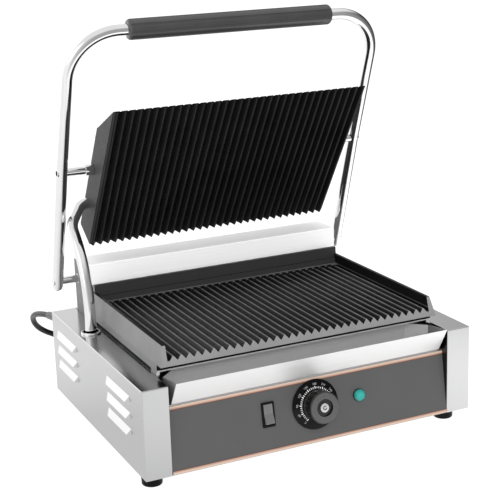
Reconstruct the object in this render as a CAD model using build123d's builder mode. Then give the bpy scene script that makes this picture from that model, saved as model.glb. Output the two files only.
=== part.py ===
from build123d import *
import os
from math import sin, cos, tan, atan2, acos, hypot, radians, pi

os.makedirs("parts", exist_ok=True)

# ---------------------------------------------------------------
# Driving dimensions, millimetres. Z = 0 is the table top.
# "d" is the distance back from the front plane of the body.
# ---------------------------------------------------------------
body_w = 430.0          # width over the side covers
body_d = 327.0          # depth of the body
origin_d = 156.28       # frame origin, behind the front plane: middle of the overall depth
foot_h = 18.0           # foot height
box_h = 107.0           # height of the side covers
side_w = 32.3           # width of each side cover
sheet = 1.2             # sheet thickness

x_out = body_w / 2
x_in = x_out - side_w
z_bot = foot_h
z_top = foot_h + box_h

# sloping control panel
panel_z0 = 18.2         # height of its lower edge
panel_z1 = 97.9         # height of the tray shelf on top of it
panel_back = 12.3       # how far its upper edge is set back
panel_hw = 182.5        # half width
film_t = 0.4            # dark film on the panel

# controls on the panel, along the slope from the lower edge
ctrl_s = 46.2
dial_s = 46.7
lamp_s = 46.1
switch_x = -59.5
dial_x = 1.7
lamp_x = 60.9
switch_w, switch_h = 16.0, 29.6
dial_d = 60.0
knob_d = 38.4
knob_n = 26.5           # how far its front stands out
lamp_d = 13.8

# drip tray
tray_x = 1.0
tray_hw = 177.0
tray_floor = 98.3
tray_foot = 11.9        # where the front meets the floor
tray_lip, tray_lip_z = -6.0, 128.5   # the front's top edge
tray_rim_z = 123.0      # the rim at the back
tray_rear = 57.0
tray_cut = 22.0         # rear corners cut across

# lower plate
rib_pitch = 10.0
rib_depth = 5.0
rib_tip = 1.0           # flat on a rib's tip
rib_root = 0.8          # flat in a groove
lp_front = 24.0
lp_rear = 268.0
lp_hw = 181.5           # half width at the skirt
lp_top_hw = 176.5       # half width at the wall's top
lp_in_hw = 172.6        # half width inside the walls
lp_skirt_z = 129.0
lp_lip_z = 138.0
lp_tip_z = 149.0
lp_wall_z = 161.2
lp_ledge_z = 156.5
lp_back_z = 170.7

# hinge
hinge_d, hinge_z = 312.0, 169.0
shaft_d = 10.0
hb_hw = 181.0
hb_front, hb_rear = 277.0, 322.0
hb_top = 194.5

# handle
tube_d = 14.0
tube_wall = 1.5
arm_l, arm_r = -207.5, 203.5
arm_low = 162.5
arm_lean = 0.38         # forward travel per unit of height, above the plate's pivots
pivot_d, pivot_z = 260.5, 321.0
pin_d = 10.0
grip_z = 495.0
grip_l, grip_r = -136.5, 132.5
grip_d = 25.0
corner_r = 60.0

# upper plate, standing open
open_deg = 56.55
up_x = 2.0              # its centre is a little right of the body's
up_hw = 169.5
up_len = 225.0
up_h = 40.0
up_wall = 6.0
up_d, up_z = 292.2, 214.9   # rear rib edge when open
piv_t, piv_n = 106.0, 32.0

# conduit
con_x = -198.0
con_d = 13.8
con_wall = 1.25
pole_d, pole_z = 335.5, 150.7
con_r = 120.0
con_t, con_n = 50.0, 28.6
ring_dist = 216.8
ring_bore = 9.6

# cord
cord_d = 8.0
gland_x, gland_z = -206.0, 115.0
boot_len = 46.0
boot_droop = 12.0
coil_x, coil_dist = -30.0, 395.0
coil_mean_r = 40.0


def dy(d):
    return d - origin_d


def at_x(x):
    return Plane.YZ.offset(x)


def at_y(d):
    return Plane.XZ.offset(-dy(d))


def at_z(z):
    return Plane.XY.offset(z)


def quad(a0, a1, b0, b1):
    return Polygon((a0, b0), (a1, b0), (a1, b1), (a0, b1), align=None)


# the sloping panel's own planes
pn_len = ((panel_z1 - panel_z0) ** 2 + panel_back ** 2) ** 0.5
pn_c = (panel_z1 - panel_z0) / pn_len
pn_s = panel_back / pn_len


def panel_pt(x, s, n):
    return (x, dy(0) + s * pn_s - n * pn_c, panel_z0 + s * pn_c + n * pn_s)


def panel_n(n):
    return Plane(origin=panel_pt(0, 0, n), x_dir=(1, 0, 0), z_dir=(0, -pn_c, pn_s))


def panel_side(x):
    # sketch axes: up the slope, out of the panel
    return Plane(origin=panel_pt(x, 0, 0), x_dir=(0, pn_s, pn_c), z_dir=(1, 0, 0))


# the upper plate's own planes
th = radians(open_deg)
lc, ls = cos(th), sin(th)


def lid_pt(x, y, n):
    return (x, dy(up_d) + y * lc + n * ls, up_z - y * ls + n * lc)


def lid_n(n):
    return Plane(origin=lid_pt(0, 0, n), x_dir=(1, 0, 0), z_dir=(0, ls, lc))


def lid_x(x):
    return Plane(origin=lid_pt(x, 0, 0), x_dir=(0, lc, -ls), z_dir=(1, 0, 0))


def lid_y(y):
    return Plane(origin=lid_pt(0, y, 0), x_dir=(1, 0, 0), z_dir=(0, -lc, ls))


louver_groups = [(40.0, 114.5), (228.5, 302.0)]
louver_tops = [106.3, 86.2, 66.5]
louver_out = 4.0
louver_h = 8.0
louver_end = 6.2

foot_xy = [(-197, dy(30)), (197, dy(30)), (-170, dy(294)), (170, dy(294))]

# ---------------------------------------------------------------
# left side cover
# ---------------------------------------------------------------
with BuildPart() as left_side_cover:
    with BuildSketch(at_z(z_bot)):
        quad(-x_out, -x_in, dy(0), dy(body_d))
    extrude(amount=box_h)
    fillet(left_side_cover.edges().filter_by(Axis.Z), 1.4)
    fillet(left_side_cover.faces().sort_by(Axis.Z)[-1].edges(), 1.0)
    with BuildSketch(at_z(z_bot)):
        quad(-x_out + sheet, -x_in - sheet, dy(sheet), dy(body_d - sheet))
    extrude(amount=box_h - sheet, mode=Mode.SUBTRACT)
    with BuildSketch(at_z(z_bot)):
        quad(-x_in - sheet - 0.2, -x_in + 1, dy(sheet), dy(body_d - sheet))
    extrude(amount=1.7, mode=Mode.SUBTRACT)
    for d0, d1 in louver_groups:
        with BuildSketch(at_y(d0)):
            for zt in louver_tops:
                Polygon((-x_out + 0.6, zt), (-x_out, zt), (-x_out - louver_out, zt - louver_h),
                        (-x_out + 0.6, zt - louver_h), align=None)
        extrude(amount=-(d1 - d0))
    with BuildSketch(at_z(52)):
        for d0, d1 in louver_groups:
            Polygon((-x_out, dy(d0 - 0.5)), (-x_out, dy(d0)), (-x_out - 4.5, dy(d0 + louver_end)),
                    (-x_out - 4.5, dy(d0 - 0.5)), align=None)
            Polygon((-x_out, dy(d1 + 0.5)), (-x_out, dy(d1)), (-x_out - 4.5, dy(d1 - louver_end)),
                    (-x_out - 4.5, dy(d1 + 0.5)), align=None)
    extrude(amount=60, mode=Mode.SUBTRACT)
    for d0, d1 in louver_groups:
        with BuildSketch(at_y(d0 + 6.5)):
            for zt in louver_tops:
                Polygon((-x_out + 3, zt - 1.6), (-x_out + 0.8, zt - 1.6), (-x_out - 3.0, zt - 8.3),
                        (-x_out + 3, zt - 8.3), align=None)
        extrude(amount=-(d1 - d0 - 13), mode=Mode.SUBTRACT)
    with BuildSketch(at_z(z_top - 4)):
        with Locations((con_x, dy(ring_dist))):
            Circle(ring_bore + 0.65)
    extrude(amount=8, mode=Mode.SUBTRACT)
    with BuildSketch(at_y(body_d - 4)):
        with Locations((gland_x, gland_z)):
            Circle(6.0)
    extrude(amount=-8, mode=Mode.SUBTRACT)
left_side_cover.part.label = "left_side_cover"
export_step(left_side_cover.part, "parts/left_side_cover.step")

# ---------------------------------------------------------------
# right side cover
# ---------------------------------------------------------------
with BuildPart() as right_side_cover:
    with BuildSketch(at_z(z_bot)):
        quad(x_in, x_out, dy(0), dy(body_d))
    extrude(amount=box_h)
    fillet(right_side_cover.edges().filter_by(Axis.Z), 1.4)
    fillet(right_side_cover.faces().sort_by(Axis.Z)[-1].edges(), 1.0)
    with BuildSketch(at_z(z_bot)):
        quad(x_in + sheet, x_out - sheet, dy(sheet), dy(body_d - sheet))
    extrude(amount=box_h - sheet, mode=Mode.SUBTRACT)
    with BuildSketch(at_z(z_bot)):
        quad(x_in - 1, x_in + sheet + 0.2, dy(sheet), dy(body_d - sheet))
    extrude(amount=1.7, mode=Mode.SUBTRACT)
    for d0, d1 in louver_groups:
        with BuildSketch(at_y(d0)):
            for zt in louver_tops:
                Polygon((x_out - 0.6, zt), (x_out, zt), (x_out + louver_out, zt - louver_h),
                        (x_out - 0.6, zt - louver_h), align=None)
        extrude(amount=-(d1 - d0))
    with BuildSketch(at_z(52)):
        for d0, d1 in louver_groups:
            Polygon((x_out, dy(d0 - 0.5)), (x_out, dy(d0)), (x_out + 4.5, dy(d0 + louver_end)),
                    (x_out + 4.5, dy(d0 - 0.5)), align=None)
            Polygon((x_out, dy(d1 + 0.5)), (x_out, dy(d1)), (x_out + 4.5, dy(d1 - louver_end)),
                    (x_out + 4.5, dy(d1 + 0.5)), align=None)
    extrude(amount=60, mode=Mode.SUBTRACT)
    for d0, d1 in louver_groups:
        with BuildSketch(at_y(d0 + 6.5)):
            for zt in louver_tops:
                Polygon((x_out - 3, zt - 1.6), (x_out - 0.8, zt - 1.6), (x_out + 3.0, zt - 8.3),
                        (x_out - 3, zt - 8.3), align=None)
        extrude(amount=-(d1 - d0 - 13), mode=Mode.SUBTRACT)
right_side_cover.part.label = "right_side_cover"
export_step(right_side_cover.part, "parts/right_side_cover.step")

# ---------------------------------------------------------------
# base pan, with a hem under the control panel and cooling slots
# ---------------------------------------------------------------
with BuildPart() as base_pan:
    with BuildSketch(at_z(z_bot)):
        quad(-x_out + 1.4, x_out - 1.4, dy(2.0), dy(body_d - 1.4))
    extrude(amount=1.5)
    with BuildSketch(at_z(z_bot - 1)):
        with GridLocations(34, 90, 8, 2):
            SlotOverall(40, 5, rotation=90)
        with Locations(*foot_xy):
            Circle(2.3)
    extrude(amount=6, mode=Mode.SUBTRACT)
base_pan.part.label = "base_pan"
export_step(base_pan.part, "parts/base_pan.step")

# ---------------------------------------------------------------
# rear panel
# ---------------------------------------------------------------
rear_screw_xz = [(-172, 34), (0, 34), (172, 34), (-172, 112), (0, 112), (172, 112)]
with BuildPart() as rear_panel:
    with BuildSketch(at_y(body_d - sheet)):
        quad(-panel_hw, panel_hw, z_bot + 1.5, z_top - sheet)
    extrude(amount=-sheet)
    with BuildSketch(at_z(z_bot + 1.5)):
        quad(-panel_hw, panel_hw, dy(312), dy(body_d - sheet))
    extrude(amount=sheet)
    with BuildSketch(at_y(body_d - 3)):
        with Locations((0, 73)):
            with GridLocations(16, 1, 14, 1):
                SlotOverall(38, 5, rotation=90)
        with Locations(*rear_screw_xz):
            Circle(1.8)
    extrude(amount=-6, mode=Mode.SUBTRACT)
rear_panel.part.label = "rear_panel"
export_step(rear_panel.part, "parts/rear_panel.step")

with BuildPart() as rear_screws:
    with BuildSketch(at_y(body_d)):
        with Locations(*rear_screw_xz):
            Circle(3.6)
    extrude(amount=-2.0)
    fillet(rear_screws.faces().filter_by(Axis.Y).sort_by(Axis.Y)[-6:].edges(), 1.0)
    with BuildSketch(at_y(body_d - 9)):
        with Locations(*rear_screw_xz):
            Circle(1.75)
    extrude(amount=-9.0)
    with BuildSketch(at_y(body_d + 1.0)):
        with Locations(*rear_screw_xz):
            Rectangle(4.2, 0.9)
            Rectangle(0.9, 4.2)
    extrude(amount=-3, mode=Mode.SUBTRACT)
rear_screws.part.label = "rear_screws"
export_step(rear_screws.part, "parts/rear_screws.step")

# ---------------------------------------------------------------
# top deck under the lower plate, with rails beside the tray
# ---------------------------------------------------------------
with BuildPart() as top_deck:
    with BuildSketch(at_z(z_top - sheet)):
        quad(-panel_hw, panel_hw, dy(78), dy(body_d))
        quad(-panel_hw, -179.2, dy(36), dy(78.5))
        quad(179.2, panel_hw, dy(36), dy(78.5))
    extrude(amount=sheet)
    with BuildSketch(at_z(panel_z1)):
        quad(-panel_hw, -panel_hw + sheet, dy(36), dy(77.8))
        quad(panel_hw - sheet, panel_hw, dy(36), dy(77.8))
    extrude(amount=z_top - panel_z1 - sheet + 0.1)
    with BuildSketch(at_z(panel_z1 - 1.2)):
        quad(-panel_hw, panel_hw, dy(78), dy(79.2))
    extrude(amount=z_top - panel_z1)
    with BuildSketch(at_z(z_top - 3)):
        with Locations((-150, dy(240)), (-120, dy(240))):
            Circle(6.0)
        with Locations((30, dy(114))):
            Circle(4.0)
    extrude(amount=6, mode=Mode.SUBTRACT)
top_deck.part.label = "top_deck"
export_step(top_deck.part, "parts/top_deck.step")

with BuildPart() as insulation_board:
    with BuildSketch(at_z(z_top - sheet - 12)):
        quad(-174, 174, dy(84), dy(268))
        with Locations((-150, dy(240)), (-120, dy(240))):
            Circle(6.0, mode=Mode.SUBTRACT)
        with Locations((30, dy(114))):
            Circle(4.0, mode=Mode.SUBTRACT)
    extrude(amount=12)
insulation_board.part.label = "insulation_board"
export_step(insulation_board.part, "parts/insulation_board.step")

# ---------------------------------------------------------------
# front control panel, its dark film and its copper pinstripes
# ---------------------------------------------------------------
with BuildPart() as front_panel:
    with BuildSketch(at_x(-panel_hw)):
        Polygon((dy(18), z_bot + 1.5), (dy(1.6), z_bot + 1.5), (dy(1.4), panel_z0), (dy(0), panel_z0),
                (dy(panel_back), panel_z1), (dy(77.8), panel_z1), (dy(77.8), panel_z1 - sheet),
                (dy(panel_back + 1.05), panel_z1 - sheet), (dy(1.75), z_bot + 1.5 + sheet), (dy(18), z_bot + 1.5 + sheet),
                align=None)
    extrude(amount=2 * panel_hw)
    with BuildSketch(panel_n(-6)):
        with Locations((switch_x, ctrl_s)):
            Rectangle(14.0, 27.4)
        with Locations((dial_x, dial_s)):
            Circle(5.0)
        with Locations((lamp_x, lamp_s)):
            Circle(5.5)
    extrude(amount=12, mode=Mode.SUBTRACT)
front_panel.part.label = "front_panel"
export_step(front_panel.part, "parts/front_panel.step")

film_s0, film_s1 = 0.3, 78.9
with BuildPart() as control_film:
    with BuildSketch(panel_n(0)):
        quad(-182.4, 182.4, film_s0, film_s1)
        with Locations((switch_x, ctrl_s)):
            Rectangle(14.0, 27.4, mode=Mode.SUBTRACT)
        with Locations((dial_x, dial_s)):
            Circle(5.0, mode=Mode.SUBTRACT)
        with Locations((lamp_x, lamp_s)):
            Circle(5.5, mode=Mode.SUBTRACT)
    extrude(amount=film_t)
control_film.part.label = "control_film"
export_step(control_film.part, "parts/control_film.step")

with BuildPart() as panel_stripes:
    with BuildSketch(panel_n(film_t)):
        quad(-182.4, 182.4, 0.4, 5.1)
        quad(-182.4, 182.4, 74.1, 78.8)
    extrude(amount=0.15)
panel_stripes.part.label = "panel_stripes"
export_step(panel_stripes.part, "parts/panel_stripes.step")

# ---------------------------------------------------------------
# drip tray
# ---------------------------------------------------------------
tray_side = tray_rear - tray_cut
tray_l, tray_r = tray_x - tray_hw, tray_x + tray_hw
tray_wall = [(dy(tray_lip), tray_lip_z), (dy(tray_foot), tray_floor), (dy(tray_side), tray_floor),
             (dy(tray_side), tray_rim_z)]
with BuildPart() as drip_tray:
    # floor
    with BuildSketch(at_z(tray_floor)):
        Polygon((tray_l, dy(tray_foot)), (tray_r, dy(tray_foot)), (tray_r, dy(tray_side)),
                (tray_r - tray_cut, dy(tray_rear)), (tray_l + tray_cut, dy(tray_rear)), (tray_l, dy(tray_side)),
                align=None)
    extrude(amount=1.0)
    # leaning front
    with BuildSketch(at_x(tray_l)):
        Polygon((dy(tray_lip), tray_lip_z), (dy(tray_foot), tray_floor), (dy(tray_foot + 1.2), tray_floor),
                (dy(tray_lip + 1.2), tray_lip_z), align=None)
    extrude(amount=2 * tray_hw)
    # ends
    with BuildSketch(at_x(tray_l)):
        Polygon(*tray_wall, align=None)
    extrude(amount=1.0)
    with BuildSketch(at_x(tray_r - 1.0)):
        Polygon(*tray_wall, align=None)
    extrude(amount=1.0)
    # back and cut corners
    with BuildSketch(at_z(tray_floor)):
        quad(tray_l + tray_cut, tray_r - tray_cut, dy(tray_rear - 1.0), dy(tray_rear))
        Polygon((tray_l, dy(tray_side)), (tray_l + tray_cut, dy(tray_rear)),
                (tray_l + tray_cut + 0.41, dy(tray_rear - 1.0)), (tray_l + 1.0, dy(tray_side - 0.41)), align=None)
        Polygon((tray_r, dy(tray_side)), (tray_r - tray_cut, dy(tray_rear)),
                (tray_r - tray_cut - 0.41, dy(tray_rear - 1.0)), (tray_r - 1.0, dy(tray_side - 0.41)), align=None)
    extrude(amount=tray_rim_z - tray_floor)
drip_tray.part.label = "drip_tray"
export_step(drip_tray.part, "parts/drip_tray.step")

# ---------------------------------------------------------------
# rocker switch
# ---------------------------------------------------------------
with BuildPart() as switch_housing:
    with BuildSketch(panel_n(film_t)):
        with Locations((switch_x, ctrl_s)):
            RectangleRounded(switch_w, switch_h, 1.0)
    extrude(amount=1.9)
    with BuildSketch(panel_n(-24)):
        with Locations((switch_x, ctrl_s)):
            Rectangle(13.6, 27.0)
    extrude(amount=24 + film_t)
    with BuildSketch(panel_n(-9)):
        with Locations((switch_x, ctrl_s)):
            Rectangle(11.8, 25.4)
    extrude(amount=14, mode=Mode.SUBTRACT)
    with BuildSketch(panel_side(switch_x - 6.5)):
        with Locations((ctrl_s, -1.0)):
            Circle(1.55)
    extrude(amount=13.0, mode=Mode.SUBTRACT)
    with BuildSketch(panel_n(-32)):
        with Locations((switch_x, ctrl_s - 7), (switch_x, ctrl_s + 7)):
            Rectangle(6.3, 0.8)
    extrude(amount=8)
switch_housing.part.label = "switch_housing"
export_step(switch_housing.part, "parts/switch_housing.step")

# the rocker is built level and then tipped: top end in, bottom end out
rk_tip = 10.0
rk_n = -1.0


def rk(s, n):
    a = radians(rk_tip)
    ds, dn = s, n - rk_n
    return (ctrl_s + ds * cos(a) + dn * sin(a), rk_n - ds * sin(a) + dn * cos(a))


with BuildPart() as rocker:
    with BuildSketch(panel_side(switch_x - 5.6)):
        Polygon(rk(-11.5, -2.5), rk(-11.5, 4.0), rk(-10.6, 4.4), rk(0, 2.5), rk(10.6, 4.4), rk(11.5, 4.0),
                rk(11.5, -2.5), rk(4, -5.0), rk(-4, -5.0), align=None)
    extrude(amount=11.2)
    with BuildSketch(panel_side(switch_x - 6.3)):
        with Locations((ctrl_s, rk_n)):
            Circle(1.5)
    extrude(amount=12.6)
rocker.part.label = "rocker"
export_step(rocker.part, "parts/rocker.step")

# ---------------------------------------------------------------
# thermostat, its sensor, and the dial
# ---------------------------------------------------------------
with BuildPart() as thermostat_body:
    with BuildSketch(panel_n(-34)):
        with Locations((dial_x, dial_s)):
            Rectangle(42, 36)
    extrude(amount=32)
    with BuildSketch(panel_n(-2)):
        with Locations((dial_x, dial_s)):
            Circle(4.9)
    extrude(amount=2.4)
    with BuildSketch(panel_n(-16)):
        with Locations((dial_x, dial_s)):
            Circle(3.06)
    extrude(amount=20, mode=Mode.SUBTRACT)
thermostat_body.part.label = "thermostat_body"
export_step(thermostat_body.part, "parts/thermostat_body.step")

with BuildPart() as thermostat_shaft:
    with BuildSketch(panel_n(-15)):
        with Locations((dial_x, dial_s)):
            Circle(3.0)
    extrude(amount=32)
thermostat_shaft.part.label = "thermostat_shaft"
export_step(thermostat_shaft.part, "parts/thermostat_shaft.step")

dial_axis = Axis(panel_pt(dial_x, dial_s, 0), (0, -pn_c, pn_s))
dial_half = Plane(origin=panel_pt(dial_x, dial_s, 0), x_dir=(1, 0, 0), z_dir=(0, pn_s, pn_c))
with BuildPart() as dial_skirt:
    # half section: radius across, height out of the panel downwards
    with BuildSketch(dial_half):
        Polygon((3.0, -1.4), (dial_d / 2 - 0.5, -1.4), (dial_d / 2, -1.9), (dial_d / 2, -2.6), (18.5, -6.0),
                (3.0, -6.0), align=None)
    revolve(axis=dial_axis)
dial_skirt.part.label = "dial_skirt"
export_step(dial_skirt.part, "parts/dial_skirt.step")

with BuildPart() as knob:
    with BuildSketch(panel_n(6.0)):
        with Locations((dial_x, dial_s)):
            Circle(knob_d / 2 - 0.9)
    with BuildSketch(panel_n(knob_n)):
        with Locations((dial_x, dial_s)):
            Circle(knob_d / 2)
    loft()
    fillet(knob.faces().sort_by(Axis.Y)[0].edges(), 2.4)
    with BuildSketch(panel_n(knob_n - 2.2)):
        with Locations((dial_x, dial_s)):
            Circle(10.4)
    extrude(amount=5, mode=Mode.SUBTRACT)
    with BuildSketch(panel_n(5)):
        with Locations((dial_x, dial_s)):
            Circle(3.0)
    extrude(amount=12, mode=Mode.SUBTRACT)
    with BuildSketch(panel_n(6.6)):
        with Locations((dial_x, dial_s)):
            with PolarLocations(knob_d / 2 + 0.75, 30):
                Circle(1.3)
    extrude(amount=knob_n - 6.6 - 4.2, mode=Mode.SUBTRACT)
knob.part.label = "knob"
export_step(knob.part, "parts/knob.step")

with BuildPart() as knob_cap:
    with BuildSketch(panel_n(knob_n - 2.2)):
        with Locations((dial_x, dial_s)):
            Circle(5.6)
    extrude(amount=2.0)
    fillet(knob_cap.faces().sort_by(Axis.Y)[0].edges(), 0.8)
    with BuildSketch(panel_n(knob_n - 1.0)):
        with Locations((dial_x, dial_s)):
            Circle(2.6)
            Circle(1.5, mode=Mode.SUBTRACT)
            with Locations((2.0, 0.6)):
                Rectangle(1.8, 1.6, mode=Mode.SUBTRACT)
    extrude(amount=4, mode=Mode.SUBTRACT)
knob_cap.part.label = "knob_cap"
export_step(knob_cap.part, "parts/knob_cap.step")

bulb_z = lp_lip_z - 3.05
with BuildPart() as thermostat_bulb:
    with BuildSketch(at_y(121)):
        with Locations((30, bulb_z)):
            Circle(3.0)
    extrude(amount=-48)
    with BuildLine() as capillary_path:
        FilletPolyline((30, dy(122), bulb_z), (30, dy(114), bulb_z), (30, dy(114), 68), (30, dy(38.9), 68), radius=6)
    with BuildSketch(Plane(origin=(30, dy(122), bulb_z), z_dir=(0, -1, 0))):
        Circle(1.0)
    sweep(path=capillary_path.wires()[0])
thermostat_bulb.part.label = "thermostat_bulb"
export_step(thermostat_bulb.part, "parts/thermostat_bulb.step")

# ---------------------------------------------------------------
# pilot lamp
# ---------------------------------------------------------------
with BuildPart() as lamp_body:
    with BuildSketch(panel_n(-26)):
        with Locations((lamp_x, lamp_s)):
            Circle(5.4)
    extrude(amount=26 + film_t)
    with BuildSketch(panel_n(film_t)):
        with Locations((lamp_x, lamp_s)):
            Circle(lamp_d / 2 + 0.6)
    extrude(amount=1.0)
    with BuildSketch(panel_n(-33)):
        with Locations((lamp_x - 2.5, lamp_s), (lamp_x + 2.5, lamp_s)):
            Rectangle(0.8, 4.8)
    extrude(amount=7)
lamp_body.part.label = "lamp_body"
export_step(lamp_body.part, "parts/lamp_body.step")

with BuildPart() as lamp_lens:
    with BuildSketch(panel_n(film_t + 1.0)):
        with Locations((lamp_x, lamp_s)):
            Circle(lamp_d / 2)
    extrude(amount=4.4)
    fillet(lamp_lens.faces().sort_by(Axis.Y)[0].edges(), 2.4)
lamp_lens.part.label = "lamp_lens"
export_step(lamp_lens.part, "parts/lamp_lens.step")

# ---------------------------------------------------------------
# lower plate: ribbed casting with side walls and a higher rear wall
# ---------------------------------------------------------------
lp_boss = [(0, 87.5), (-135, 170), (130, 170)]
with BuildPart() as lower_plate:
    with BuildSketch(at_y(lp_front)):
        Polygon((-lp_hw, lp_skirt_z), (lp_hw, lp_skirt_z), (lp_hw, lp_lip_z), (lp_top_hw, lp_wall_z),
                (-lp_top_hw, lp_wall_z), (-lp_hw, lp_lip_z), align=None)
    extrude(amount=-(lp_rear - lp_front))
    with BuildSketch(at_x(-175.2)):
        Polygon((dy(258), 140), (dy(258), lp_ledge_z), (dy(261.6), lp_ledge_z), (dy(262.4), lp_back_z),
                (dy(267), lp_back_z), (dy(268), 150), (dy(268), 140), align=None)
    extrude(amount=350.4)
    with BuildSketch(at_x(-lp_in_hw)):
        Polygon((dy(10), lp_tip_z), (dy(259.0), lp_tip_z), (dy(259.6), lp_ledge_z), (dy(261.6), lp_ledge_z),
                (dy(262.4), lp_back_z), (dy(262.4), 180), (dy(10), 180), align=None)
    extrude(amount=2 * lp_in_hw, mode=Mode.SUBTRACT)
    with BuildSketch(at_x(-200)):
        Polygon((dy(10), 120), (dy(37), 120), (dy(37), lp_lip_z), (dy(24), lp_lip_z), (dy(31), lp_wall_z),
                (dy(31), 180), (dy(10), 180), align=None)
    extrude(amount=400, mode=Mode.SUBTRACT)
    with BuildSketch(at_z(lp_skirt_z - 1)):
        quad(-176.5, 176.5, dy(43), dy(262))
    extrude(amount=lp_lip_z - lp_skirt_z + 1, mode=Mode.SUBTRACT)
    with BuildSketch(at_y(15)):
        for i in range(-16, 17):
            gx = i * rib_pitch
            Polygon((gx - rib_pitch / 2 + rib_tip / 2, lp_tip_z + 0.01), (gx - rib_root / 2, lp_tip_z - rib_depth),
                    (gx + rib_root / 2, lp_tip_z - rib_depth), (gx + rib_pitch / 2 - rib_tip / 2, lp_tip_z + 0.01),
                    align=None)
        for sg in (-1, 1):
            Polygon((sg * 165.5, lp_tip_z + 0.01), (sg * 169.6, lp_tip_z - rib_depth),
                    (sg * lp_in_hw, lp_tip_z - rib_depth), (sg * lp_in_hw, lp_tip_z + 0.01), align=None)
    extrude(amount=-(247.5 - 15), mode=Mode.SUBTRACT)
    with BuildSketch(at_x(-lp_in_hw)):
        Polygon((dy(246.0), lp_tip_z + 0.01), (dy(247.4), lp_tip_z - rib_depth), (dy(251.0), lp_tip_z - rib_depth),
                (dy(252.4), lp_tip_z + 0.01), align=None)
    extrude(amount=2 * lp_in_hw, mode=Mode.SUBTRACT)
    # row of short rib ends behind the cross groove
    with BuildSketch(at_y(251)):
        for i in range(-16, 17):
            gx = i * rib_pitch
            Polygon((gx - rib_pitch / 2 + 0.9, lp_tip_z + 0.01), (gx - 0.8, lp_tip_z - 3.4),
                    (gx + 0.8, lp_tip_z - 3.4), (gx + rib_pitch / 2 - 0.9, lp_tip_z + 0.01), align=None)
    extrude(amount=-(257.6 - 251), mode=Mode.SUBTRACT)
    with BuildSketch(at_z(z_top)):
        for sg in (-1, 1):
            for d0 in (39, 244):
                quad(min(sg * 177.5, sg * lp_hw), max(sg * 177.5, sg * lp_hw), dy(d0), dy(d0 + 17))
    extrude(amount=lp_skirt_z - z_top + 0.5)
    with BuildSketch(at_z(131.4)):
        with Locations(*[(x, dy(d)) for x, d in lp_boss]):
            Circle(6.5)
    extrude(amount=lp_lip_z - 131.4 + 0.1)
    with BuildSketch(at_z(131.0)):
        with Locations(*[(x, dy(d)) for x, d in lp_boss]):
            Circle(2.5)
    extrude(amount=8.0, mode=Mode.SUBTRACT)
lower_plate.part.label = "lower_plate"
export_step(lower_plate.part, "parts/lower_plate.step")

le_z = lp_lip_z - 3.3
with BuildPart() as lower_element:
    with BuildLine() as lower_element_path:
        FilletPolyline((-150, dy(240), 104), (-150, dy(240), le_z), (-150, dy(70), le_z), (150, dy(70), le_z),
                       (150, dy(235), le_z), (110, dy(235), le_z), (110, dy(105), le_z), (-120, dy(105), le_z),
                       (-120, dy(240), le_z), (-120, dy(240), 104), radius=[12, 15, 15, 15, 15, 15, 15, 12])
    with BuildSketch(Plane(origin=(-150, dy(240), 104), z_dir=(0, 0, 1))):
        Circle(3.25)
    sweep(path=lower_element_path.wires()[0])
lower_element.part.label = "lower_element"
export_step(lower_element.part, "parts/lower_element.step")

with BuildPart() as lower_element_clamps:
    with BuildSketch(at_z(129.9)):
        quad(-9, 9, dy(62), dy(113))
        quad(-158, -112, dy(161), dy(179))
        quad(102, 158, dy(161), dy(179))
        with Locations(*[(x, dy(d)) for x, d in lp_boss]):
            Circle(2.6, mode=Mode.SUBTRACT)
    extrude(amount=1.5)
lower_element_clamps.part.label = "lower_element_clamps"
export_step(lower_element_clamps.part, "parts/lower_element_clamps.step")

with BuildPart() as lower_clamp_screws:
    with BuildSketch(at_z(126.9)):
        with Locations(*[(x, dy(d)) for x, d in lp_boss]):
            RegularPolygon(4.6, 6)
    extrude(amount=3.0)
    with BuildSketch(at_z(129.8)):
        with Locations(*[(x, dy(d)) for x, d in lp_boss]):
            Circle(2.45)
    extrude(amount=8.6)
lower_clamp_screws.part.label = "lower_clamp_screws"
export_step(lower_clamp_screws.part, "parts/lower_clamp_screws.step")

# ---------------------------------------------------------------
# hinge box, bushes, springs
# ---------------------------------------------------------------
with BuildPart() as hinge_box:
    with BuildSketch(at_z(z_top)):
        quad(-hb_hw, hb_hw, dy(hb_front), dy(hb_rear))
    extrude(amount=hb_top - z_top)
    fillet(hinge_box.faces().sort_by(Axis.Z)[-1].edges(), 1.6)
    with BuildSketch(at_z(z_top)):
        quad(-hb_hw + 1.5, hb_hw - 1.5, dy(hb_front + 1.5), dy(hb_rear - 1.5))
    extrude(amount=hb_top - z_top - 1.5, mode=Mode.SUBTRACT)
    with BuildSketch(at_x(-200)):
        with Locations((dy(hinge_d), hinge_z)):
            Circle(6.5)
    extrude(amount=400, mode=Mode.SUBTRACT)
hinge_box.part.label = "hinge_box"
export_step(hinge_box.part, "parts/hinge_box.step")

with BuildPart() as hinge_bushes:
    for x0, f0 in ((-hb_hw, -hb_hw + 1.5), (hb_hw - 7.0, hb_hw - 3.5)):
        with BuildSketch(at_x(x0)):
            with Locations((dy(hinge_d), hinge_z)):
                Circle(6.45)
        extrude(amount=7.0)
        with BuildSketch(at_x(f0)):
            with Locations((dy(hinge_d), hinge_z)):
                Circle(8.2)
        extrude(amount=2.0)
        with BuildSketch(at_x(x0 - 1)):
            with Locations((dy(hinge_d), hinge_z)):
                Circle(shaft_d / 2 + 0.06)
        extrude(amount=9.0, mode=Mode.SUBTRACT)
hinge_bushes.part.label = "hinge_bushes"
export_step(hinge_bushes.part, "parts/hinge_bushes.step")

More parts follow.
